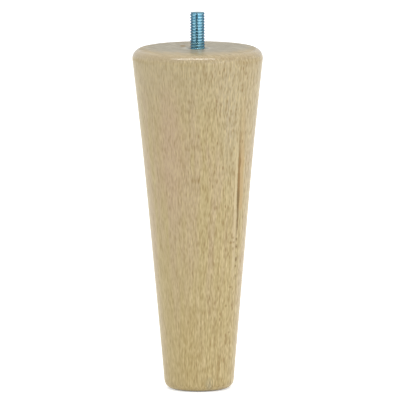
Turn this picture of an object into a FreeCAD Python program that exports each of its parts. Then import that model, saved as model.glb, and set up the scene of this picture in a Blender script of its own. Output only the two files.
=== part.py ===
import FreeCAD, Part
import math
import os

import Sketcher

# Tapered furniture leg: a turned beech leg with a hanger bolt screwed into its top.
# Millimetres, +Z up, origin at the middle of the foot, on the floor.

# Driving sizes: alias, value in millimetres or turns, meaning
DRIVING_SIZES = (
    ("leg_height", 152.4, "floor to seat, without the stud"),
    ("top_diameter", 59.0, "where the flank and the seat would meet with a sharp rim"),
    ("flare_diameter", 48.55, "where the lower and the upper taper meet"),
    ("flare_height", 104.5, "floor to the place where the two tapers meet"),
    ("foot_diameter", 30.3, "where the flank and the foot would meet with a sharp rim"),
    ("flare_easing", 20.5, "length of each taper taken up by the arc that eases one into the other"),
    ("top_rounding", 4.3, "radius of the rim round the seat"),
    ("foot_rounding", 4.1, "radius of the rim round the foot"),
    ("machine_thread", 6.35, "diameter over the crests of the machine thread"),
    ("stud_length", 16.0, "machine thread that stands above the seat"),
    ("end_chamfer", 0.25, "broken edge on the free end of the stud"),
    ("thread_sink", 1.0, "machine thread that lies below the seat, in the mouth of the bore"),
    ("shank_diameter", 5.5, "plain shank between the two threads"),
    ("wood_crest", 6.2, "diameter over the crest of the wood thread"),
    ("wood_core", 4.4, "diameter at the root of the wood thread"),
    ("wood_pitch", 2.54, "rise of the wood thread in one turn"),
    ("wood_turns", 4, "turns of the wood thread on the core"),
    ("ridge_rooting", 0.3, "depth to which the ridge of the wood thread is rooted in the core"),
    ("embedded_length", 22.1, "tip of the bolt below the seat"),
    ("tip_length", 4.0, "conical tip of the bolt"),
    ("shank_clearance", 0.1, "radial room round the shank in its bore"),
    ("core_clearance", 0.1, "radial room round the wood thread's core in the pilot bore"),
    ("mouth_gap", 1.0, "radial room round the machine thread in the countersunk mouth"),
    ("bore_runout", 2.0, "pilot bore below the bolt's tip"),
)

# Half angles of the wood thread's ridge and of a twist drill's point, as expressions
WOOD_FLANK_ANGLE = "30 deg"
DRILL_POINT_ANGLE = "59 deg"

# Sketch numbers: the two axes, of which the first also stands for the origin, and the ends of a line
ACROSS, UP = -1, -2
START, END = 1, 2

FULL_TURN = 360.0
SAME_PLACE = 1e-6

# Sizes worked out from the driving ones, as expressions
LEG_HEIGHT = "Dimensions.leg_height"
TOP_RADIUS = "Dimensions.top_diameter / 2"
FLARE_RADIUS = "Dimensions.flare_diameter / 2"
FLARE_HEIGHT = "Dimensions.flare_height"
FOOT_RADIUS = "Dimensions.foot_diameter / 2"
MACHINE_RADIUS = "Dimensions.machine_thread / 2"
SHANK_RADIUS = "Dimensions.shank_diameter / 2"
CORE_RADIUS = "Dimensions.wood_core / 2"
CREST_RADIUS = "Dimensions.wood_crest / 2"
SHANK_BORE = f"{SHANK_RADIUS} + Dimensions.shank_clearance"
PILOT_BORE = f"{CORE_RADIUS} + Dimensions.core_clearance"
MOUTH_RADIUS = f"{MACHINE_RADIUS} + Dimensions.thread_sink + Dimensions.mouth_gap"
TIP_HEIGHT = f"{LEG_HEIGHT} - Dimensions.embedded_length"
CORE_END = f"{TIP_HEIGHT} + Dimensions.tip_length"
BORE_END = f"{TIP_HEIGHT} - Dimensions.bore_runout"
DRILL_POINT = f"({PILOT_BORE}) / tan({DRILL_POINT_ANGLE})"
# The wood thread's ridge winds up the core, from the tip to the shank
RIDGE_ROOT = f"{CORE_RADIUS} - Dimensions.ridge_rooting"
RIDGE_HALF_BASE = f"(({CREST_RADIUS} - ({RIDGE_ROOT})) * tan({WOOD_FLANK_ANGLE}))"
RIDGE_CLIMB = "Dimensions.wood_turns * Dimensions.wood_pitch"
RIDGE_START = f"{CORE_END} + {RIDGE_HALF_BASE}"
CORE_START = f"{RIDGE_START} + {RIDGE_CLIMB} + {RIDGE_HALF_BASE}"
SHANK_END = f"{CORE_START} + {SHANK_RADIUS} - {CORE_RADIUS}"


def make_sheet(doc):
    """The spreadsheet that holds the driving sizes."""
    sheet = doc.addObject("Spreadsheet::Sheet", "Dimensions")
    for row, (alias, value, meaning) in enumerate(DRIVING_SIZES, start=1):
        sheet.set(f"A{row}", alias)
        sheet.set(f"B{row}", str(value))
        sheet.setAlias(f"B{row}", alias)
        sheet.set(f"C{row}", meaning)
    doc.recompute()


def origin_feature(body, role):
    """One of the body's own origin planes or axes."""
    return next(feature for feature in body.Origin.OriginFeatures if feature.Role == role)


def number(holder, expression):
    """The present value of an expression, as a plain number."""
    value = holder.evalExpression(expression)
    return float(getattr(value, "Value", value))


def new_sketch(body, name):
    """An empty sketch on the body's XZ plane: across is the radius, up is the height."""
    sketch = body.newObject("Sketcher::SketchObject", name)
    sketch.AttachmentSupport = [(origin_feature(body, "XZ_Plane"), "")]
    sketch.MapMode = "FlatFace"
    sketch.Visibility = False
    return sketch


def pin_down(sketch, geometry, end, radius, height):
    """Hold one end of a line at a radius and a height, both given as expressions."""
    for expression, axis, kind in ((radius, UP, "DistanceX"), (height, ACROSS, "DistanceY")):
        if expression == "0":
            sketch.addConstraint(Sketcher.Constraint("PointOnObject", geometry, end, axis))
        else:
            value = number(sketch, expression)
            index = sketch.addConstraint(
                Sketcher.Constraint(kind, ACROSS, START, geometry, end, value)
            )
            sketch.setExpression(f"Constraints[{index}]", expression)


def closed_outline(sketch, corners):
    """A closed outline of straight lines through corners given as (radius, height) expressions."""
    points = [
        FreeCAD.Vector(number(sketch, radius), number(sketch, height), 0)
        for radius, height in corners
    ]
    count = len(points)
    for i in range(count):
        sketch.addGeometry(Part.LineSegment(points[i], points[(i + 1) % count]), False)
    for i in range(count):
        sketch.addConstraint(Sketcher.Constraint("Coincident", i, END, (i + 1) % count, START))
    for i, (radius, height) in enumerate(corners):
        pin_down(sketch, i, START, radius, height)


def revolve(body, kind, name, sketch):
    """Turn a sketch right round the body's Z axis, to add or to cut material."""
    feature = body.newObject(f"PartDesign::{kind}", name)
    feature.Profile = sketch
    feature.ReferenceAxis = (origin_feature(body, "Z_Axis"), [""])
    feature.Angle = FULL_TURN
    body.Document.recompute()
    return feature


def round_edge(body, name, base, height, radius):
    """Round the outermost circular edge at one height, by a radius given as an expression."""
    level = number(base, height)
    circles = [
        (edge.Curve.Radius, f"Edge{index}")
        for index, edge in enumerate(base.Shape.Edges, start=1)
        if edge.Curve.TypeId == "Part::GeomCircle" and abs(edge.Curve.Center.z - level) < SAME_PLACE
    ]
    fillet = body.newObject("PartDesign::Fillet", name)
    fillet.Base = (base, [max(circles)[1]])
    fillet.setExpression("Radius", radius)
    body.Document.recompute()
    return fillet


def wood_thread(body, kind, name):
    """The sharp ridge of the wood thread, wound up the core: added to the bolt, cut into the wood."""
    section = new_sketch(body, f"{name}Section")
    closed_outline(
        section,
        (
            (RIDGE_ROOT, f"{RIDGE_START} - {RIDGE_HALF_BASE}"),
            (CREST_RADIUS, RIDGE_START),
            (RIDGE_ROOT, f"{RIDGE_START} + {RIDGE_HALF_BASE}"),
        ),
    )
    body.Document.recompute()
    helix = body.newObject(f"PartDesign::{kind}", name)
    helix.Profile = section
    helix.ReferenceAxis = (origin_feature(body, "Z_Axis"), [""])
    helix.Mode = "pitch-height-angle"
    helix.HasBeenEdited = True
    helix.Angle = 0.0
    helix.setExpression("Pitch", "Dimensions.wood_pitch")
    helix.setExpression("Height", RIDGE_CLIMB)
    helix.Refine = False
    body.Document.recompute()
    return helix


def run_into(sketch, line, end, arc):
    """Let one end of a line run smoothly into the end of an arc that lies there."""
    place = sketch.getPoint(line, end)
    arc_end = START if place.isEqual(sketch.getPoint(arc, START), SAME_PLACE) else END
    sketch.addConstraint(Sketcher.Constraint("Tangent", line, end, arc, arc_end))


def leg_outline(body):
    """Half section of the turned leg with sharp rims: two flat ends and two tapers eased into each other."""
    sketch = new_sketch(body, "LegOutline")
    height = number(sketch, LEG_HEIGHT)
    foot_middle = FreeCAD.Vector(0, 0, 0)
    foot_rim = FreeCAD.Vector(number(sketch, FOOT_RADIUS), 0, 0)
    flare = FreeCAD.Vector(number(sketch, FLARE_RADIUS), number(sketch, FLARE_HEIGHT), 0)
    top_rim = FreeCAD.Vector(number(sketch, TOP_RADIUS), height, 0)
    top_middle = FreeCAD.Vector(0, height, 0)
    # The easing arc touches both tapers at the same distance from the place where they would meet
    reach = number(sketch, "Dimensions.flare_easing")
    downward = (foot_rim - flare).normalize()
    upward = (top_rim - flare).normalize()
    half_turn = (math.pi - downward.getAngle(upward)) / 2
    arc_foot = flare + downward * reach
    arc_top = flare + upward * reach
    arc_middle = flare + (downward + upward).normalize() * reach * math.tan(half_turn / 2)
    foot_line = sketch.addGeometry(Part.LineSegment(foot_middle, foot_rim), False)
    lower_taper = sketch.addGeometry(Part.LineSegment(foot_rim, arc_foot), False)
    easing = sketch.addGeometry(Part.Arc(arc_foot, arc_middle, arc_top), False)
    upper_taper = sketch.addGeometry(Part.LineSegment(arc_top, top_rim), False)
    seat_line = sketch.addGeometry(Part.LineSegment(top_rim, top_middle), False)
    axis_line = sketch.addGeometry(Part.LineSegment(top_middle, foot_middle), False)
    corner = sketch.addGeometry(Part.Point(flare), True)
    sketch.addConstraint(Sketcher.Constraint("Coincident", foot_line, END, lower_taper, START))
    run_into(sketch, lower_taper, END, easing)
    run_into(sketch, upper_taper, START, easing)
    sketch.addConstraint(Sketcher.Constraint("Coincident", upper_taper, END, seat_line, START))
    sketch.addConstraint(Sketcher.Constraint("Coincident", seat_line, END, axis_line, START))
    sketch.addConstraint(Sketcher.Constraint("Coincident", axis_line, END, foot_line, START))
    sketch.addConstraint(Sketcher.Constraint("PointOnObject", corner, START, lower_taper))
    sketch.addConstraint(Sketcher.Constraint("PointOnObject", corner, START, upper_taper))
    pin_down(sketch, foot_line, START, "0", "0")
    pin_down(sketch, lower_taper, START, FOOT_RADIUS, "0")
    pin_down(sketch, corner, START, FLARE_RADIUS, FLARE_HEIGHT)
    pin_down(sketch, seat_line, START, TOP_RADIUS, LEG_HEIGHT)
    pin_down(sketch, axis_line, START, "0", LEG_HEIGHT)
    length = sketch.addConstraint(
        Sketcher.Constraint("Distance", corner, START, lower_taper, END, reach)
    )
    sketch.setExpression(f"Constraints[{length}]", "Dimensions.flare_easing")
    body.Document.recompute()
    return sketch


def make_leg(doc):
    """The turned leg, bored and countersunk for the hanger bolt."""
    body = doc.addObject("PartDesign::Body", "Leg")
    body.Label = "tapered_leg"
    blank = revolve(body, "Revolution", "TurnedBlank", leg_outline(body))
    seat_rim = round_edge(body, "SeatRim", blank, LEG_HEIGHT, "Dimensions.top_rounding")
    round_edge(body, "FootRim", seat_rim, "0", "Dimensions.foot_rounding")
    bore = new_sketch(body, "BoreOutline")
    closed_outline(
        bore,
        (
            ("0", LEG_HEIGHT),
            (MOUTH_RADIUS, LEG_HEIGHT),
            (SHANK_BORE, f"{LEG_HEIGHT} - ({MOUTH_RADIUS}) + {SHANK_BORE}"),
            (SHANK_BORE, SHANK_END),
            (PILOT_BORE, f"{SHANK_END} - ({SHANK_BORE}) + {PILOT_BORE}"),
            (PILOT_BORE, BORE_END),
            ("0", f"{BORE_END} - {DRILL_POINT}"),
        ),
    )
    revolve(body, "Groove", "Bore", bore)
    body.Tip = wood_thread(body, "SubtractiveHelix", "CutThread")
    return body


def make_bolt(doc):
    """The hanger bolt: machine thread above the seat, plain shank, wood thread and tip below it."""
    body = doc.addObject("PartDesign::Body", "Bolt")
    body.Label = "hanger_bolt"
    section = new_sketch(body, "BoltOutline")
    stud_end = f"{LEG_HEIGHT} + Dimensions.stud_length"
    thread_end = f"{LEG_HEIGHT} - Dimensions.thread_sink"
    closed_outline(
        section,
        (
            ("0", stud_end),
            ("0", TIP_HEIGHT),
            (CORE_RADIUS, CORE_END),
            (CORE_RADIUS, CORE_START),
            (SHANK_RADIUS, SHANK_END),
            (SHANK_RADIUS, f"{thread_end} - ({MACHINE_RADIUS} - {SHANK_RADIUS})"),
            (MACHINE_RADIUS, thread_end),
            (MACHINE_RADIUS, f"{stud_end} - Dimensions.end_chamfer"),
            (f"{MACHINE_RADIUS} - Dimensions.end_chamfer", stud_end),
        ),
    )
    revolve(body, "Revolution", "BoltBlank", section)
    body.Tip = wood_thread(body, "AdditiveHelix", "WoodThread")
    return body


def check(doc, bodies):
    """Stop if anything in the document failed, or a sub-part isn't one sound solid."""
    failed = [o.Name for o in doc.Objects if {"Invalid", "Error"} & set(o.State)]
    if failed:
        raise RuntimeError(f"failed features: {failed}")
    for body in bodies:
        shape = body.Shape
        if shape.isNull() or not shape.isValid() or len(shape.Solids) != 1:
            raise RuntimeError(f"{body.Label} is not one valid solid")


def main():
    doc = FreeCAD.newDocument("TaperedLeg")
    make_sheet(doc)
    bodies = [make_leg(doc), make_bolt(doc)]
    doc.recompute()
    check(doc, bodies)
    os.makedirs("parts", exist_ok=True)
    for body in bodies:
        body.Shape.exportStep(os.path.join("parts", f"{body.Label}.step"))
        print(body.Label, "volume", round(body.Shape.Volume, 1))


main()
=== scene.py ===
import math

import bpy
from mathutils import Euler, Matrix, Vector


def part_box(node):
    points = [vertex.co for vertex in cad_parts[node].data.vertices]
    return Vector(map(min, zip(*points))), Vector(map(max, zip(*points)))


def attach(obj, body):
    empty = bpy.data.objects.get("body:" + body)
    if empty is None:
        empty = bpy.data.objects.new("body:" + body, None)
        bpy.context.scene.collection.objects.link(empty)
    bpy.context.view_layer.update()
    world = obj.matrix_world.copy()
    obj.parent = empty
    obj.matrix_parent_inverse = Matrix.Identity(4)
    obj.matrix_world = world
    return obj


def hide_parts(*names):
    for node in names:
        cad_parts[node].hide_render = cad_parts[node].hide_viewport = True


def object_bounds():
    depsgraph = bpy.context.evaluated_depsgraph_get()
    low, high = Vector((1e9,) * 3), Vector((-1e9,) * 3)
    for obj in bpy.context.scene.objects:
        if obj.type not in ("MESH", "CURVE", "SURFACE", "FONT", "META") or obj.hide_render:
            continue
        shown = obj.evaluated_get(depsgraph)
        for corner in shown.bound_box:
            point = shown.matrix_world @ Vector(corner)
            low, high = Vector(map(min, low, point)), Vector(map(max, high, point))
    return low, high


# Looks of a turned beech furniture leg with a zinc-plated hanger bolt. Metres, in the part's own frame.

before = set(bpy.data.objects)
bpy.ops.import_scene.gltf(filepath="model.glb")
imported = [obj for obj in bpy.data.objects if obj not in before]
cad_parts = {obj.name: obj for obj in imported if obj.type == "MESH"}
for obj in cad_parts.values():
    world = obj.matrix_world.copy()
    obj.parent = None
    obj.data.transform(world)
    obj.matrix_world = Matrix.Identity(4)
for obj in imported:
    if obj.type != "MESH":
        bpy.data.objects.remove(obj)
cad_low, cad_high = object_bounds()
_, leg_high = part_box("tapered_leg")
bolt_low, bolt_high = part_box("hanger_bolt")

MM = 0.001
FULL_TURN = 2 * math.pi

# Hanger bolt: the solid's own sizes, with the fine machine thread cut into it
SEAT = leg_high.z
MACHINE_RADIUS = bolt_high.x
MACHINE_PITCH = 1.27 * MM
MACHINE_DEPTH = 0.42 * MM
# Where the flank starts and ends, as shares of the way from the crest's middle to the root's
CREST_SHARE = 0.34
ROOT_SHARE = 0.95
END_CHAMFER = 0.25 * MM
THREAD_BELOW_SEAT = 1.0 * MM
THREAD_END = SEAT - THREAD_BELOW_SEAT
SHANK_RADIUS = 2.75 * MM
CORE_RADIUS = 2.2 * MM
WOOD_CREST_RADIUS = 3.1 * MM
WOOD_PITCH = 2.54 * MM
WOOD_TURNS = 4
WOOD_HALF_ANGLE = math.radians(30)
WOOD_FLANK = math.tan(WOOD_HALF_ANGLE)
RIDGE_ROOTING = 0.3 * MM
RIDGE_HALF_BASE = (WOOD_CREST_RADIUS - CORE_RADIUS + RIDGE_ROOTING) * WOOD_FLANK
TIP_LENGTH = 4.0 * MM
BOLT_SEGMENTS = 96
ROWS_PER_PITCH = 20
SHARP_ANGLE = math.radians(50)


def srgb(red, green, blue):
    """A colour picked on screen, 0 to 255, as a linear colour with alpha, by the sRGB curve."""
    def linear(value):
        value /= 255
        return value / 12.92 if value <= 0.04045 else ((value + 0.055) / 1.055) ** 2.4
    return (linear(red), linear(green), linear(blue), 1.0)


# The Mix node's colour sockets, by number because its other kinds use the same names
MIX_A = 6
MIX_B = 7
MIX_RESULT = 2
NOISE_MIDDLE = 0.5


class Graph:
    """A node tree with short ways to add nodes and wire them."""

    def __init__(self, tree):
        self.tree = tree
        tree.nodes.clear()

    def add(self, kind, inputs=(), **settings):
        """A new node with its settings, and its inputs given as (name or number, value or socket)."""
        node = self.tree.nodes.new(kind)
        for name, value in settings.items():
            setattr(node, name, value)
        for name, value in inputs:
            self.put(node.inputs[name], value)
        return node

    def put(self, socket, value):
        """Wire a socket to another, or set its value."""
        if isinstance(value, bpy.types.NodeSocket):
            self.tree.links.new(value, socket)
        else:
            socket.default_value = value

    def math(self, operation, a, b=0.0, clamp=False):
        """The result of a Math node."""
        inputs = ((0, a), (1, b))
        return self.add("ShaderNodeMath", inputs, operation=operation, use_clamp=clamp).outputs[0]

    def times(self, *factors):
        """The product of two or more values."""
        product = factors[0]
        for factor in factors[1:]:
            product = self.math("MULTIPLY", product, factor)
        return product

    def vector(self, operation, a, b=(0.0, 0.0, 0.0)):
        """The result of a Vector Math node."""
        node = self.add("ShaderNodeVectorMath", ((0, a), (1, b)), operation=operation)
        return node.outputs["Value" if operation in ("LENGTH", "DOT_PRODUCT") else "Vector"]

    def split(self, vector):
        """A vector's three numbers."""
        return self.add("ShaderNodeSeparateXYZ", ((0, vector),)).outputs

    def join(self, x, y, z):
        """A vector of three numbers."""
        return self.add("ShaderNodeCombineXYZ", ((0, x), (1, y), (2, z))).outputs[0]

    def step(self, value, low, high, to_low=0.0, to_high=1.0):
        """Ease from one value to another as the input goes from low to high."""
        spans = (("From Min", low), ("From Max", high), ("To Min", to_low), ("To Max", to_high))
        inputs = (("Value", value), *spans)
        return self.add("ShaderNodeMapRange", inputs, interpolation_type="SMOOTHSTEP").outputs[0]

    def mix(self, factor, a, b):
        """Colour a where the factor is 0, and colour b where it is 1."""
        inputs = (("Factor", factor), (MIX_A, a), (MIX_B, b))
        return self.add("ShaderNodeMix", inputs, data_type="RGBA").outputs[MIX_RESULT]

    def noise(self, place, scale, offset=(0.0, 0.0, 0.0), detail=2.0):
        """Noise about 0.5, with its own scale in each direction."""
        moved = self.vector("ADD", self.vector("MULTIPLY", place, scale), offset)
        inputs = (("Vector", moved), ("Scale", 1.0), ("Detail", detail))
        return self.add("ShaderNodeTexNoise", inputs).outputs[0]

    def swing(self, noise, reach):
        """Noise about 0.5 as a swing about 0."""
        return self.times(self.math("SUBTRACT", noise, NOISE_MIDDLE), reach)


def new_material(name):
    """A material and its empty graph."""
    material = bpy.data.materials.new(name)
    material.use_nodes = True
    return material, Graph(material.node_tree)


def finish_material(graph, surface):
    """Wire a shader to the material's output."""
    graph.add("ShaderNodeOutputMaterial", (("Surface", surface),))


def place_in_millimetres(graph):
    """A surface point's place in the part's frame, in millimetres."""
    return graph.vector("DIVIDE", graph.add("ShaderNodeTexCoord").outputs["Object"], (MM, MM, MM))


def patch(graph, place, centre, size, firm=0.0):
    """A soft patch round a point, in millimetres. 0 to 1."""
    apart = graph.vector("DIVIDE", graph.vector("SUBTRACT", place, centre), size)
    return graph.step(graph.vector("LENGTH", apart), 1.0, firm)


# Beech is a solid texture, in millimetres, in the tree's own directions
PITH = (79.0, 56.0)
DRIFT_SCALE = (0.10, 0.14, 0.055)
DRIFT_REACH = 2.0


def tree_place(graph, place):
    """A place as (distance from the pith, way round the ring, height), and the direction to the pith."""
    x, y, z = graph.split(place)
    in_x = graph.math("SUBTRACT", PITH[0], x)
    in_y = graph.math("SUBTRACT", PITH[1], y)
    inward = graph.join(in_x, in_y, 0.0)
    radius = graph.vector("LENGTH", inward)
    around = graph.times(graph.math("ARCTAN2", in_y, in_x), math.hypot(*PITH))
    drift = graph.noise(graph.join(radius, around, z), DRIFT_SCALE)
    around = graph.math("ADD", around, graph.swing(drift, DRIFT_REACH))
    return graph.join(radius, around, z), graph.vector("NORMALIZE", inward)


# Ground colour: the heights and widths over which it changes, and how far it changes there
STRAW = srgb(201, 181, 129)
ROSY_STRAW = srgb(203, 180, 140)
BROAD_SCALE = (0.20, 0.24, 0.012)
BROAD_RANGE = (0.40, 0.60)
LOW_STRAW = srgb(198, 177, 123)
LOW_HEIGHTS = (90.0, 0.0)
LOW_STRENGTH = 0.75
PALE_STRAW = srgb(206, 192, 157)
PALE_ACROSS = (4.0, 24.0)
PALE_HEIGHTS = (60.0, 150.0)
PALE_STRENGTH = 0.6
TOP_STRAW = srgb(202, 184, 143)
TOP_HEIGHTS = (108.0, 146.0)
TOP_STRENGTH = 0.85
# Patches on the front: centre, half size, firm share, strength and colour
GROUND_PATCHES = (
    ((14.0, -20.0, 122.0), (7.0, 16.0, 50.0), 0.0, 0.35, srgb(204, 192, 166)),
    ((-12.0, -22.0, 108.0), (9.5, 14.0, 42.0), 0.3, 0.85, srgb(205, 178, 143)),
    ((-4.0, -16.0, 18.0), (8.0, 12.0, 45.0), 0.0, 0.6, srgb(196, 173, 113)),
    ((4.5, -14.0, 3.5), (2.6, 5.0, 5.0), 0.0, 0.7, srgb(166, 158, 132)),
)


def beech_ground(graph, place, tree):
    """The quiet colour under the grain: straw, with ashen, rosy, golden and grey patches."""
    broad = graph.noise(tree, BROAD_SCALE)
    colour = graph.mix(graph.step(broad, *BROAD_RANGE), STRAW, ROSY_STRAW)
    x, _, z = graph.split(place)
    colour = graph.mix(graph.step(z, *LOW_HEIGHTS, to_high=LOW_STRENGTH), colour, LOW_STRAW)
    pale = graph.times(graph.step(x, *PALE_ACROSS), graph.step(z, *PALE_HEIGHTS))
    colour = graph.mix(graph.times(pale, PALE_STRENGTH), colour, PALE_STRAW)
    colour = graph.mix(graph.step(z, *TOP_HEIGHTS, to_high=TOP_STRENGTH), colour, TOP_STRAW)
    for centre, size, firm, strength, tint in GROUND_PATCHES:
        spread = patch(graph, place, centre, size, firm)
        colour = graph.mix(graph.times(spread, strength), colour, tint)
    return colour


# Growth rings: how they wander, and where in a ring the late wood starts and ends
RING_WIDTH = 2.6
RING_WANDER_SCALE = (0.05, 0.05, 0.008)
RING_WANDER = 2.0
LATE_WOOD_START = (0.45, 0.90)
LATE_WOOD_END = (1.0, 0.93)


def growth_rings(graph, tree):
    """Late wood at the end of each ring. 0 to 1."""
    wander = graph.times(graph.noise(tree, RING_WANDER_SCALE), RING_WANDER)
    count = graph.math("DIVIDE", graph.split(tree)[0], RING_WIDTH)
    ring = graph.math("FRACT", graph.math("ADD", count, wander))
    return graph.times(graph.step(ring, *LATE_WOOD_START), graph.step(ring, *LATE_WOOD_END))


# Long streaks, dashes and short flecks: noise scale, offset and strength
GRAIN = (
    ((1.8, 1.9, 0.035), (0.0, 0.0, 0.0), 1.0),
    ((2.0, 2.1, 0.16), (7.0, 3.0, 5.0), 1.1),
    ((2.2, 2.3, 0.45), (5.0, 8.0, 1.0), 1.3),
)


def grain_tone(graph, tree):
    """Streaks, dashes and flecks together, light above 0 and dark below."""
    tone = 0.0
    for scale, offset, strength in GRAIN:
        layer = graph.noise(tree, scale, offset, detail=0.0)
        tone = graph.math("ADD", tone, graph.swing(layer, strength))
    return tone


# Spindles of ray tissue: cell, half size and offset in the tree's directions
DARK_SPINDLES = (
    ((1.7, 1.6, 3.8), (0.55, 0.28, 1.4), (0.0, 0.0, 0.0)),
    ((2.0, 1.8, 5.0), (0.55, 0.26, 2.0), (47.0, 13.0, 29.0)),
)
PALE_SPINDLES = ((1.8, 1.7, 4.4), (0.55, 0.30, 1.7), (31.0, 17.0, 23.0))
SPINDLE_SCATTER = 0.8
SPINDLE_EDGE = (1.0, 0.35)
SPINDLE_CHANCE = (0.15, 0.95)


def spindles(graph, tree, cell, half_size, offset):
    """Short spindles of ray tissue, one in each cell of the wood. 0 to 1."""
    scaled = graph.vector("DIVIDE", graph.vector("ADD", tree, offset), cell)
    inputs = (("Vector", scaled), ("Scale", 1.0), ("Randomness", SPINDLE_SCATTER))
    cells = graph.add("ShaderNodeTexVoronoi", inputs).outputs
    apart = graph.vector("SUBTRACT", scaled, cells["Position"])
    slender = tuple(c / h for c, h in zip(cell, half_size))
    spindle = graph.step(graph.vector("LENGTH", graph.vector("MULTIPLY", apart, slender)), *SPINDLE_EDGE)
    chance = graph.split(cells["Color"])[0]
    return graph.times(spindle, graph.step(chance, *SPINDLE_CHANCE))


# Mineral streak: a leaning sheet in the wood that shows on the front, with its stretches by height
STREAK_LEAN = 0.041
STREAK_AT_FOOT = 14.1
STREAK_FRONT = (-5.0, -7.0)
WOBBLE_SCALE = (0.1, 0.1, 0.12)
WOBBLE_REACH = 0.9
RAGGED_SCALE = (0.1, 0.1, 0.45)
RAGGED_OFFSET = (4.0, 1.0, 8.0)
RAGGED_RANGE = (0.35, 0.65)
RAGGED_WIDTHS = (0.85, 1.2)
BOLD_TOP = (136.0, 122.0)
BOLD_GROWTH = (118.0, 101.0)
BOLD_FAINTEST = 0.30
BOLD_END = (80.5, 83.0)
BOLD_EXTRA_WIDTH = 0.32
THIN_TOP = (84.0, 82.0)
THIN_END = (46.0, 56.0)
THIN_WIDTH = 0.42
THIN_STRENGTH = 0.9
DOTS_BELOW = (68.0, 74.0)
LINE_EDGE = (1.0, 0.4)
PALE_BAND_ASIDE = -1.15
PALE_BAND_EDGE = (0.85, 0.35)
PALE_BAND_BOLD = 0.8
PALE_BAND_THIN = 0.5
AMBER_BAND_ASIDE = 1.1
AMBER_BAND_EDGE = (1.4, 0.5)
AMBER_BAND_BOLD = 0.8


def mineral_streak(graph, place, tree):
    """A brown streak down the right of the front, bold above, thin below that and dotted at its end.

    Returns the dark line, the pale band left of it and the amber band right of it, each 0 to 1.
    """
    x, y, z = graph.split(place)
    wobble = graph.swing(graph.noise(tree, WOBBLE_SCALE), WOBBLE_REACH)
    sheet = graph.math("ADD", graph.times(z, STREAK_LEAN), STREAK_AT_FOOT)
    aside = graph.math("SUBTRACT", graph.math("ADD", x, wobble), sheet)
    front = graph.step(y, *STREAK_FRONT)
    ragged = graph.step(graph.noise(tree, RAGGED_SCALE, RAGGED_OFFSET), *RAGGED_RANGE)

    growth = graph.step(z, *BOLD_GROWTH, to_low=BOLD_FAINTEST)
    bold = graph.times(growth, graph.step(z, *BOLD_TOP), graph.step(z, *BOLD_END))
    thin = graph.times(graph.step(z, *THIN_TOP), graph.step(z, *THIN_END))
    dotted = graph.math("MAXIMUM", graph.step(z, *DOTS_BELOW), ragged)
    width = graph.math("ADD", graph.times(bold, BOLD_EXTRA_WIDTH), THIN_WIDTH)
    width = graph.times(width, graph.step(ragged, 0.0, 1.0, *RAGGED_WIDTHS))
    line = graph.step(graph.math("DIVIDE", graph.math("ABSOLUTE", aside), width), *LINE_EDGE)
    dark = graph.math("MAXIMUM", bold, graph.times(thin, dotted, THIN_STRENGTH))

    def band(middle, edge):
        return graph.step(graph.math("ABSOLUTE", graph.math("SUBTRACT", aside, middle)), *edge)

    left = graph.times(band(PALE_BAND_ASIDE, PALE_BAND_EDGE), front)
    right = graph.times(band(AMBER_BAND_ASIDE, AMBER_BAND_EDGE), front)
    pale = graph.math("MAXIMUM", graph.times(bold, PALE_BAND_BOLD), graph.times(thin, PALE_BAND_THIN))
    amber = graph.times(bold, AMBER_BAND_BOLD)
    return graph.times(line, front, dark), graph.times(left, pale), graph.times(right, amber)


# Ladder marks on the front: place across, height, half width and half height
LADDER = (
    (15.2, 69.5, 0.9, 0.9), (14.3, 67.4, 1.0, 0.8), (15.6, 67.4, 0.7, 0.8), (15.3, 64.6, 0.7, 1.2),
    (12.0, 64.5, 0.6, 1.7), (14.0, 47.2, 1.2, 0.8), (12.0, 38.9, 0.9, 0.9), (14.7, 38.7, 0.6, 1.2),
    (13.3, 26.6, 0.8, 0.8), (11.7, 22.1, 0.7, 1.7), (13.7, 21.9, 0.8, 1.7),
    (15.9, 98.8, 0.6, 1.7), (15.9, 110.2, 0.5, 1.5),
)
LADDER_FRONT = (-3.0, -5.0)
LADDER_FIRM = 0.1


def ray_ladder(graph, place):
    """Short brown marks one above another, down the right of the front. 0 to 1."""
    marks = 0.0
    x, y, z = graph.split(place)
    level = graph.join(x, 0.0, z)
    for across, height, half_width, half_height in LADDER:
        mark = patch(graph, level, (across, 0.0, height), (half_width, 1.0, half_height), LADDER_FIRM)
        marks = graph.math("MAXIMUM", marks, mark)
    return graph.times(marks, graph.step(y, *LADDER_FRONT))


# End grain on the seat and the underside, with the seat's bare middle and what is on it
BARE_STRETCH = 0.85
BARE_BACK = 5.0
BARE_DRIFT_SCALE = (0.30, 0.18, 0.0)
BARE_DRIFT = 12.0
BARE_EDGE = (26.0, 17.0)
END_STREAK_SCALE = (1.1, 0.09, 0.0)
END_STREAK_OFFSET = (3.0, 6.0, 0.0)
END_STREAK_SHARE = 0.6
END_RAY_SCALE = (0.10, 2.6, 0.0)
END_RAY_OFFSET = (8.0, 2.0, 0.0)
END_RAY_SHARE = 0.4
END_GRAIN_RANGE = (0.40, 0.60)
END_LACQUERED = (srgb(169, 148, 105), srgb(195, 176, 134))
END_BARE = (srgb(144, 134, 109), srgb(178, 169, 146))
END_LATE_WOOD = srgb(128, 108, 74)
END_LATE_STRENGTH = 0.3
END_TURN = (0.86, 1.0)
MOUTH_FIBRE = srgb(208, 202, 184)
MOUTH_EDGE = (8.0, 4.0)
MOUTH_ABOVE = (75.0, 80.0)
MOUTH_STRENGTH = 0.7
SPOT_BROWN = srgb(136, 107, 36)
SPOT_CENTRE = (-6.5, 8.0, SEAT / MM)
SPOT_SIZE = (1.8, 5.0, 3.0)
SPOT_FIRM = 0.3
SPOT_STRENGTH = 0.95
BORE_EDGE = (5.6, 5.2)
# Painted shade: a dark band along the bottom of the foot's rounding, where the contact shadow falls
FOOT_SHADE_BROWN = srgb(92, 78, 46)
FOOT_SHADE_HEIGHTS = (0.8, 0.25)
FOOT_SHADE_TURN = (0.998, 0.98)


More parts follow.
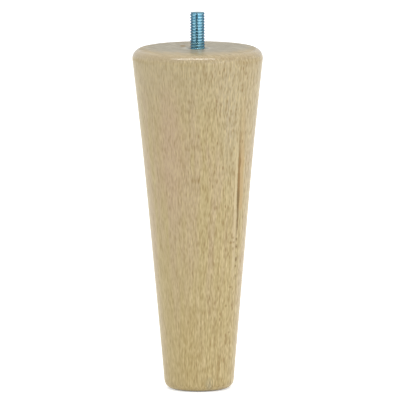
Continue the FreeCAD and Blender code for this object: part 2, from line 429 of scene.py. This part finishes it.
def end_grain_colour(graph, place, tree, late_wood, from_axis):
    """Ringed end grain, lacquered towards the seat's rim, with pale fibres and a spot near the bore."""
    x, y, z = graph.split(place)
    back = graph.math("SUBTRACT", y, BARE_BACK)
    from_patch = graph.vector("LENGTH", graph.join(graph.times(x, BARE_STRETCH), back, 0.0))
    edge = graph.math("ADD", from_patch, graph.swing(graph.noise(place, BARE_DRIFT_SCALE), BARE_DRIFT))
    streaks = graph.times(graph.noise(tree, END_STREAK_SCALE, END_STREAK_OFFSET), END_STREAK_SHARE)
    rays = graph.times(graph.noise(tree, END_RAY_SCALE, END_RAY_OFFSET), END_RAY_SHARE)
    grain = graph.step(graph.math("ADD", streaks, rays), *END_GRAIN_RANGE)
    lacquered = graph.mix(grain, *END_LACQUERED)
    bare = graph.mix(grain, *END_BARE)
    colour = graph.mix(graph.step(edge, *BARE_EDGE), lacquered, bare)
    colour = graph.mix(graph.times(late_wood, END_LATE_STRENGTH), colour, END_LATE_WOOD)
    mouth = graph.times(graph.step(from_axis, *MOUTH_EDGE), graph.step(z, *MOUTH_ABOVE))
    colour = graph.mix(graph.times(mouth, MOUTH_STRENGTH), colour, MOUTH_FIBRE)
    spot = patch(graph, place, SPOT_CENTRE, SPOT_SIZE, SPOT_FIRM)
    return graph.mix(graph.times(spot, SPOT_STRENGTH), colour, SPOT_BROWN)


def dress_ends(graph, place, tree, facing_up, late_wood, colour):
    """End grain on the seat, the underside and the bore's wall, and painted shade round the foot's
    bottom edge.
    """
    x, y, z = graph.split(place)
    from_axis = graph.vector("LENGTH", graph.join(x, y, 0.0))
    cut = end_grain_colour(graph, place, tree, late_wood, from_axis)
    ends = graph.math("MAXIMUM", graph.step(facing_up, *END_TURN), graph.step(from_axis, *BORE_EDGE))
    colour = graph.mix(ends, colour, cut)
    # Painted shade: the bottom of the foot's rounding is darkened where the contact shadow falls
    foot_shade = graph.times(graph.step(z, *FOOT_SHADE_HEIGHTS), graph.step(facing_up, *FOOT_SHADE_TURN))
    return graph.mix(foot_shade, colour, FOOT_SHADE_BROWN)


# Flank colours, with where each change happens: across, by height or by how the surface faces
# Painted shade: the upper rim is darkened where it turns upward, to offset the overhead softbox's light
# and the lacquer's sheen there
RIM_SHADE_BROWN = srgb(174, 152, 110)
RIM_SHADE_TURN = (0.10, 0.55)
RIM_SHADE_STRENGTH = 0.75
LATE_WOOD = srgb(168, 144, 92)
RING_FACING = (0.85, 0.20)
RING_STRENGTHS = (0.05, 0.40)
CALM_ACROSS = (-20.0, 8.0)
CALM_LEFT = 0.58
CALM_TURN = (0.3, 0.8)
CALM_RIM = 0.5
LIGHT_GRAIN = srgb(223, 204, 154)
LIGHT_GAIN = 1.25
DARK_GRAIN = srgb(155, 122, 62)
DARK_GAIN = -1.0
PALE_SPINDLE = srgb(224, 204, 155)
PALE_SPINDLE_STRENGTH = 0.65
DARK_SPINDLE = srgb(146, 107, 46)
DARK_SPINDLE_ACROSS = (-5.0, 13.0)
DARK_SPINDLE_STRENGTHS = (0.36, 0.68)
PALE_BAND = srgb(224, 205, 160)
AMBER_BAND = srgb(204, 172, 116)
STREAK_BROWN = srgb(156, 121, 64)
STREAK_HEART = srgb(132, 104, 44)
STREAK_HEART_HEIGHTS = (94.0, 87.0)
LADDER_BROWN = srgb(154, 122, 62)
LADDER_STRENGTH = 0.6


def flank_colour(graph, place, tree, across_rings, upward, late_wood, dark):
    """The leg's long grain, from the ground colour up to the streak and the ladder marks."""
    x, _, z = graph.split(place)
    colour = beech_ground(graph, place, tree)
    # Painted shade: darker where the top rim turns upward, against the overhead softbox's light
    rim = graph.times(graph.step(upward, *RIM_SHADE_TURN), RIM_SHADE_STRENGTH)
    colour = graph.mix(rim, colour, RIM_SHADE_BROWN)
    rings = graph.times(late_wood, graph.step(across_rings, *RING_FACING, *RING_STRENGTHS))
    colour = graph.mix(rings, colour, LATE_WOOD)

    # The grain is calmer on the left, and over the rims
    over_rim = graph.step(graph.math("ABSOLUTE", upward), *CALM_TURN, 1.0, CALM_RIM)
    calm = graph.times(graph.step(x, *CALM_ACROSS, to_low=CALM_LEFT), over_rim)
    tone = graph.times(grain_tone(graph, tree), calm)
    colour = graph.mix(graph.math("MULTIPLY", tone, LIGHT_GAIN, clamp=True), colour, LIGHT_GRAIN)
    colour = graph.mix(graph.math("MULTIPLY", tone, DARK_GAIN, clamp=True), colour, DARK_GRAIN)

    pale = spindles(graph, tree, *PALE_SPINDLES)
    colour = graph.mix(graph.times(pale, calm, PALE_SPINDLE_STRENGTH), colour, PALE_SPINDLE)
    speckle = graph.times(calm, graph.step(x, *DARK_SPINDLE_ACROSS, *DARK_SPINDLE_STRENGTHS))
    colour = graph.mix(graph.times(dark, speckle), colour, DARK_SPINDLE)

    streak, pale_band, amber_band = mineral_streak(graph, place, tree)
    colour = graph.mix(pale_band, colour, PALE_BAND)
    colour = graph.mix(amber_band, colour, AMBER_BAND)
    heart = graph.mix(graph.step(z, *STREAK_HEART_HEIGHTS), STREAK_BROWN, STREAK_HEART)
    colour = graph.mix(streak, colour, heart)
    return graph.mix(graph.times(ray_ladder(graph, place), LADDER_STRENGTH), colour, LADDER_BROWN)


# Lacquer: thin on the flank, full on the upper rim and almost gone on the flat seat
FIBRE_SCALE = (4.5, 5.5, 0.35)
FIBRE_OFFSET = (2.0, 9.0, 4.0)
FIBRE_RANGE = (0.2, 0.8)
FIBRE_ROUGHNESS = (0.46, 0.36)
SPINDLE_RELIEF = 0.6
WOOD_BUMP = 0.25
WOOD_BUMP_DEPTH = 0.05 * MM
WOOD_SPECULAR = 0.2
LACQUER_TURN = (0.15, 0.45)
LACQUER_WEIGHTS = (0.25, 1.0)
FLAT_TURN = (0.93, 0.99)
FLAT_WEIGHTS = (1.0, 0.15)
LACQUER_ROUGHNESS = 0.20
LACQUER_IOR = 1.8


def beech():
    """Lacquered beech, with its grain running through the whole solid."""
    material, graph = new_material("lacquered_beech_grain")
    place = place_in_millimetres(graph)
    tree, inward = tree_place(graph, place)
    normal = graph.add("ShaderNodeNewGeometry").outputs["Normal"]
    upward = graph.split(normal)[2]
    facing_up = graph.math("ABSOLUTE", upward)
    across_rings = graph.math("ABSOLUTE", graph.vector("DOT_PRODUCT", inward, normal))
    late_wood = growth_rings(graph, tree)
    short_dark, long_dark = [spindles(graph, tree, *sizes) for sizes in DARK_SPINDLES]
    dark = graph.math("MAXIMUM", short_dark, long_dark)

    colour = flank_colour(graph, place, tree, across_rings, upward, late_wood, dark)
    colour = dress_ends(graph, place, tree, facing_up, late_wood, colour)
    fibres = graph.noise(tree, FIBRE_SCALE, FIBRE_OFFSET)
    relief = graph.math("SUBTRACT", fibres, graph.times(dark, SPINDLE_RELIEF))
    bump_inputs = (("Strength", WOOD_BUMP), ("Distance", WOOD_BUMP_DEPTH), ("Height", relief))
    bump = graph.add("ShaderNodeBump", bump_inputs)
    lacquer = graph.step(upward, *LACQUER_TURN, *LACQUER_WEIGHTS)
    shader = graph.add("ShaderNodeBsdfPrincipled", (
        ("Base Color", colour),
        ("Roughness", graph.step(fibres, *FIBRE_RANGE, *FIBRE_ROUGHNESS)),
        ("Specular IOR Level", WOOD_SPECULAR),
        ("Normal", bump.outputs[0]),
        ("Coat Weight", graph.times(lacquer, graph.step(facing_up, *FLAT_TURN, *FLAT_WEIGHTS))),
        ("Coat Roughness", LACQUER_ROUGHNESS),
        ("Coat IOR", LACQUER_IOR),
    ))
    finish_material(graph, shader.outputs[0])
    return material


# Zinc plating: clouded blue, with a deep blue edge on the thread and a pale one on the flat end
ZINC_BLUES = (srgb(132, 183, 204), srgb(150, 196, 211))
ZINC_CLOUD_SCALE = (0.42, 0.42, 0.30)
ZINC_CLOUD_DETAIL = 3.0
ZINC_CLOUD_RANGE = (0.35, 0.65)
ZINC_GRAIN_SCALE = (4.0, 4.0, 4.0)
ZINC_GRAIN_RANGE = (0.3, 0.7)
ZINC_ROUGHNESS = (0.07, 0.11)
ZINC_BUMP = 0.03
ZINC_BUMP_DEPTH = 0.01 * MM
ZINC_EDGES = (srgb(16, 76, 132), srgb(176, 205, 212))
ZINC_END_TURN = (0.90, 0.97)


def zinc():
    """Blue-passivated zinc plating."""
    material, graph = new_material("blue_zinc_plating")
    place = place_in_millimetres(graph)
    cloud = graph.noise(place, ZINC_CLOUD_SCALE, detail=ZINC_CLOUD_DETAIL)
    grain = graph.noise(place, ZINC_GRAIN_SCALE)
    bump_inputs = (("Strength", ZINC_BUMP), ("Distance", ZINC_BUMP_DEPTH), ("Height", grain))
    bump = graph.add("ShaderNodeBump", bump_inputs)
    upward = graph.split(graph.add("ShaderNodeNewGeometry").outputs["Normal"])[2]
    shader = graph.add("ShaderNodeBsdfPrincipled", (
        ("Base Color", graph.mix(graph.step(cloud, *ZINC_CLOUD_RANGE), *ZINC_BLUES)),
        ("Metallic", 1.0),
        ("Roughness", graph.step(grain, *ZINC_GRAIN_RANGE, *ZINC_ROUGHNESS)),
        ("Specular Tint", graph.mix(graph.step(upward, *ZINC_END_TURN), *ZINC_EDGES)),
        ("Normal", bump.outputs[0]),
    ))
    finish_material(graph, shader.outputs[0])
    return material


def ease(value, low, high):
    """0 below low, 1 above high and a smooth rise between them."""
    t = min(max((value - low) / (high - low), 0.0), 1.0)
    return t * t * (3 - 2 * t)


def machine_thread_radius(angle, z):
    """Radius of the machine thread, with flattened crests and rounded roots."""
    turn = (z - THREAD_END) / MACHINE_PITCH - angle / FULL_TURN
    from_crest = abs(turn - round(turn)) * 2
    return MACHINE_RADIUS - MACHINE_DEPTH * ease(from_crest, CREST_SHARE, ROOT_SHARE)


def wood_thread_radius(angle, z):
    """Radius of the wood thread: a sharp ridge wound up the core."""
    start = bolt_low.z + TIP_LENGTH + RIDGE_HALF_BASE
    lap = round((z - start) / WOOD_PITCH - angle / FULL_TURN) + angle / FULL_TURN
    if not 0 <= lap <= WOOD_TURNS:
        return CORE_RADIUS
    from_crest = abs(z - start - lap * WOOD_PITCH)
    return max(CORE_RADIUS, WOOD_CREST_RADIUS - from_crest / WOOD_FLANK)


def bolt_radius(angle, z):
    """Radius of the hanger bolt at a bearing and a height."""
    core_end = bolt_low.z + TIP_LENGTH
    core_start = core_end + 2 * RIDGE_HALF_BASE + WOOD_TURNS * WOOD_PITCH
    shank_end = core_start + SHANK_RADIUS - CORE_RADIUS
    shank_start = THREAD_END - (MACHINE_RADIUS - SHANK_RADIUS)
    if z >= THREAD_END:
        return min(machine_thread_radius(angle, z), MACHINE_RADIUS - END_CHAMFER + bolt_high.z - z)
    if z >= shank_start:
        return SHANK_RADIUS + z - shank_start
    if z >= shank_end:
        return SHANK_RADIUS
    if z >= core_start:
        return CORE_RADIUS + z - core_start
    if z >= core_end:
        return wood_thread_radius(angle, z)
    return CORE_RADIUS * (z - bolt_low.z) / TIP_LENGTH


def bolt_mesh():
    """The hanger bolt as a closed skin of rings, with both threads as real ridges."""
    bottom = bolt_low.z
    top = bolt_high.z
    rows = math.ceil((top - bottom) / MACHINE_PITCH * ROWS_PER_PITCH)
    angles = [FULL_TURN * i / BOLT_SEGMENTS for i in range(BOLT_SEGMENTS)]
    points = [(0.0, 0.0, bottom)]
    for row in range(1, rows + 1):
        z = bottom + (top - bottom) * row / rows
        for angle in angles:
            radius = bolt_radius(angle, z)
            points.append((radius * math.cos(angle), radius * math.sin(angle), z))
    points.append((0.0, 0.0, top))
    rings = [range(1 + row * BOLT_SEGMENTS, 1 + (row + 1) * BOLT_SEGMENTS) for row in range(rows)]
    tip = 0
    crown = len(points) - 1
    faces = []
    for i in range(BOLT_SEGMENTS):
        j = (i + 1) % BOLT_SEGMENTS
        faces.append((tip, rings[0][j], rings[0][i]))
        faces.append((crown, rings[-1][i], rings[-1][j]))
        for below, above in zip(rings, rings[1:]):
            faces.append((below[i], below[j], above[j], above[i]))
    mesh = bpy.data.meshes.new("threaded_hanger_bolt")
    mesh.from_pydata(points, [], faces)
    mesh.shade_smooth()
    mesh.set_sharp_from_angle(angle=SHARP_ANGLE)
    return mesh


def make_bolt():
    """The threaded bolt, in place of the plain solid."""
    mesh = bolt_mesh()
    mesh.materials.append(zinc())
    bolt = bpy.data.objects.new("threaded_hanger_bolt", mesh)
    bpy.context.scene.collection.objects.link(bolt)
    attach(bolt, "root")
    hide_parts("hanger_bolt")


def dress_leg():
    """The leg's own solid, in beech."""
    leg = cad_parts["tapered_leg"]
    leg.material_slots[0].material = beech()


# Stage: a pale floor, soft lamps and the photograph's point of view
FLOOR_SIZE = 12.0
FLOOR_GREY = (0.88, 0.88, 0.88, 1.0)
FLOOR_GLOW = 0.56
WHITE = (1.0, 1.0, 1.0, 1.0)
DEEP_TEAL = (0.012, 0.070, 0.105, 1.0)
MID_GREY = (0.40, 0.40, 0.40, 1.0)
# Cards: name, two ends on the floor plan, bottom, top and colour
CARDS = (
    ("front_card", (-0.31, -0.50), (0.07, -0.50), 0.02, 0.40, DEEP_TEAL),
    ("left_card", (-0.74, -0.17), (-0.38, 0.65), 0.02, 0.12, MID_GREY),
    ("right_card", (0.74, -0.17), (0.38, 0.65), 0.02, 0.12, MID_GREY),
)


def make_floor():
    """A pale floor that looks white to the camera and in the metal, and keeps the leg's shadow."""
    bpy.ops.mesh.primitive_plane_add(size=FLOOR_SIZE)
    floor = bpy.context.object
    floor.name = "floor"
    material, graph = new_material("pale_floor")
    diffuse = graph.add("ShaderNodeBsdfDiffuse", (("Color", FLOOR_GREY),)).outputs[0]
    glow = graph.add("ShaderNodeEmission", (("Color", WHITE), ("Strength", FLOOR_GLOW))).outputs[0]
    path = graph.add("ShaderNodeLightPath").outputs
    mirrored = graph.math("MAXIMUM", path["Is Glossy Ray"], path["Is Transmission Ray"])
    seen = graph.math("MAXIMUM", path["Is Camera Ray"], mirrored)
    both = graph.add("ShaderNodeAddShader", ((0, diffuse), (1, glow))).outputs[0]
    surface = graph.add("ShaderNodeMixShader", ((0, seen), (1, diffuse), (2, both)))
    finish_material(graph, surface.outputs[0])
    floor.data.materials.append(material)


def make_cards():
    """Cards out of sight, which give the plated thread its dark line and its deep edges."""
    for name, start, end, bottom, top, colour in CARDS:
        material, graph = new_material(name)
        diffuse = graph.add("ShaderNodeBsdfDiffuse", (("Color", colour),))
        finish_material(graph, diffuse.outputs[0])
        mesh = bpy.data.meshes.new(name)
        corners = [(*start, bottom), (*end, bottom), (*end, top), (*start, top)]
        mesh.from_pydata(corners, [], [(0, 1, 2, 3)])
        mesh.materials.append(material)
        card = bpy.data.objects.new(name, mesh)
        bpy.context.scene.collection.objects.link(card)
        card.visible_camera = False


# Lamps, with their powers in watts, and the sky's level at the horizon and overhead
OVERHEAD_PLACE = (-0.10, -0.20, 1.30)
OVERHEAD_SIZE = (1.0, 0.10)
OVERHEAD_POWER = 4.0
FRONT_PLACE = (1.20, -1.60, 0.70)
FRONT_SIZE = (1.6, 1.4)
FRONT_POWER = 6.7
SKY_LEVELS = (0.77, 0.86)


def add_lamp(name, place, size, power):
    """A softbox that shines straight down until it is aimed."""
    lamp = bpy.data.lights.new(name, "AREA")
    lamp.shape = "RECTANGLE"
    lamp.size, lamp.size_y = size
    lamp.energy = power
    holder = bpy.data.objects.new(name, lamp)
    holder.location = place
    holder.visible_camera = False
    bpy.context.scene.collection.objects.link(holder)
    return holder


def make_lights():
    """A narrow softbox overhead, a broad one at the front right, and a sky that is lighter overhead."""
    add_lamp("overhead_softbox", OVERHEAD_PLACE, OVERHEAD_SIZE, OVERHEAD_POWER)
    front = add_lamp("front_softbox", FRONT_PLACE, FRONT_SIZE, FRONT_POWER)
    aim = (cad_low + cad_high) / 2 - Vector(FRONT_PLACE)
    front.rotation_euler = aim.to_track_quat("-Z", "Y").to_euler()
    world = bpy.data.worlds.new("studio")
    bpy.context.scene.world = world
    world.use_nodes = True
    graph = Graph(world.node_tree)
    direction = graph.add("ShaderNodeTexCoord").outputs["Generated"]
    level = graph.step(graph.split(direction)[2], 0.0, 1.0, *SKY_LEVELS)
    sky = graph.add("ShaderNodeBackground", (("Color", WHITE), ("Strength", level)))
    graph.add("ShaderNodeOutputWorld", (("Surface", sky.outputs[0]),))


# Camera: a long lens, as the photograph's nearly parallel lines show
ELEVATION = math.radians(8.11)
ROLL = math.radians(-0.268)
DISTANCE = 4.572
FOCAL_PIXELS = 10286.6
IMAGE_PIXELS = 400
SENSOR = 36.0
SHIFT_X = 0.0044
SHIFT_Y = 0.0010
CLIP_END = 50.0


def make_camera():
    """The photograph's point of view and framing."""
    data = bpy.data.cameras.new("camera")
    data.sensor_width = SENSOR
    data.lens = FOCAL_PIXELS * SENSOR / IMAGE_PIXELS
    data.clip_end = CLIP_END
    data.shift_x = SHIFT_X
    data.shift_y = SHIFT_Y
    camera = bpy.data.objects.new("camera", data)
    bpy.context.scene.collection.objects.link(camera)
    aim = Vector((0.0, 0.0, (cad_low.z + cad_high.z) / 2))
    camera.location = aim + DISTANCE * Vector((0.0, -math.cos(ELEVATION), math.sin(ELEVATION)))
    tilt = Euler((math.pi / 2 - ELEVATION, 0.0, 0.0)).to_quaternion()
    camera.rotation_euler = (tilt @ Euler((0.0, 0.0, ROLL)).to_quaternion()).to_euler()
    bpy.context.scene.camera = camera


bpy.context.scene.view_settings.view_transform = "Standard"
dress_leg()
make_bolt()
make_floor()
make_cards()
make_lights()
make_camera()
